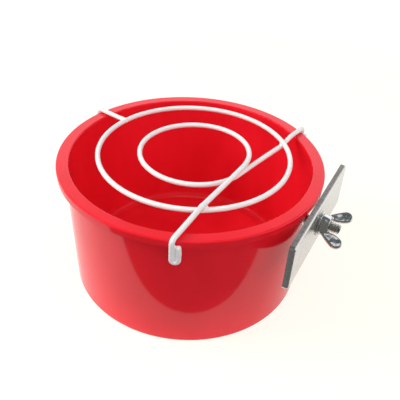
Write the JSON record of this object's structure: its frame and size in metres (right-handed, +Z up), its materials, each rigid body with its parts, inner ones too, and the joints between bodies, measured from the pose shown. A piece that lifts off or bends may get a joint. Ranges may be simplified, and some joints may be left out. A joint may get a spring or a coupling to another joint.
{
  "type": "seed cup",
  "caption": "Round plastic seed cup with a flared lip, a lift-off wire guard over its mouth, and a screw clamp that holds it against the bars of a bird cage.",
  "frame": {"origin": "middle of the flat base, on the cup's axis", "axes": "+Z up along the cup's axis, +X along the clamp bolt, away from the cup"},
  "size_m": [0.1481, 0.13, 0.0725],
  "materials": {
    "red_plastic": "glossy moulded plastic",
    "coated_wire": "steel wire with a smooth white coating",
    "plated_steel": "bright zinc plating, lightly worn"
  },
  "bodies": {
    "cup": {"cup": "red_plastic", "carriage_bolt": "plated_steel"},
    "guard": {"guard_outer_ring": "coated_wire", "guard_loop_wire": "coated_wire", "guard_short_leg": "coated_wire"},
    "washer": {"washer": "plated_steel"},
    "clamp_plate": {"clamp_plate": "plated_steel"},
    "wing_nut": {"wing_nut": "plated_steel"}
  },
  "joints": [
    {"name": "guard_lift", "type": "slide", "parent": "cup", "child": "guard", "axis": [0, 0, 1], "range_m": [0, 0.04]},
    {"name": "clamp_travel", "type": "slide", "parent": "cup", "child": "washer", "axis": [1, 0, 0], "range_m": [0, 0.0064]},
    {"name": "nut_turn", "type": "hinge", "parent": "washer", "child": "wing_nut", "pos_m": [0.0692, 0, 0.0537], "axis": [1, 0, 0], "range_deg": [0, 2880]},
    {"name": "plate_swivel", "type": "hinge", "parent": "washer", "child": "clamp_plate", "pos_m": [0.0676, 0, 0.0537], "axis": [1, 0, 0], "continuous": true}
  ],
  "couplings": [
    {"joint": "nut_turn", "follows": "clamp_travel", "rad_per_m": 7854}
  ]
}
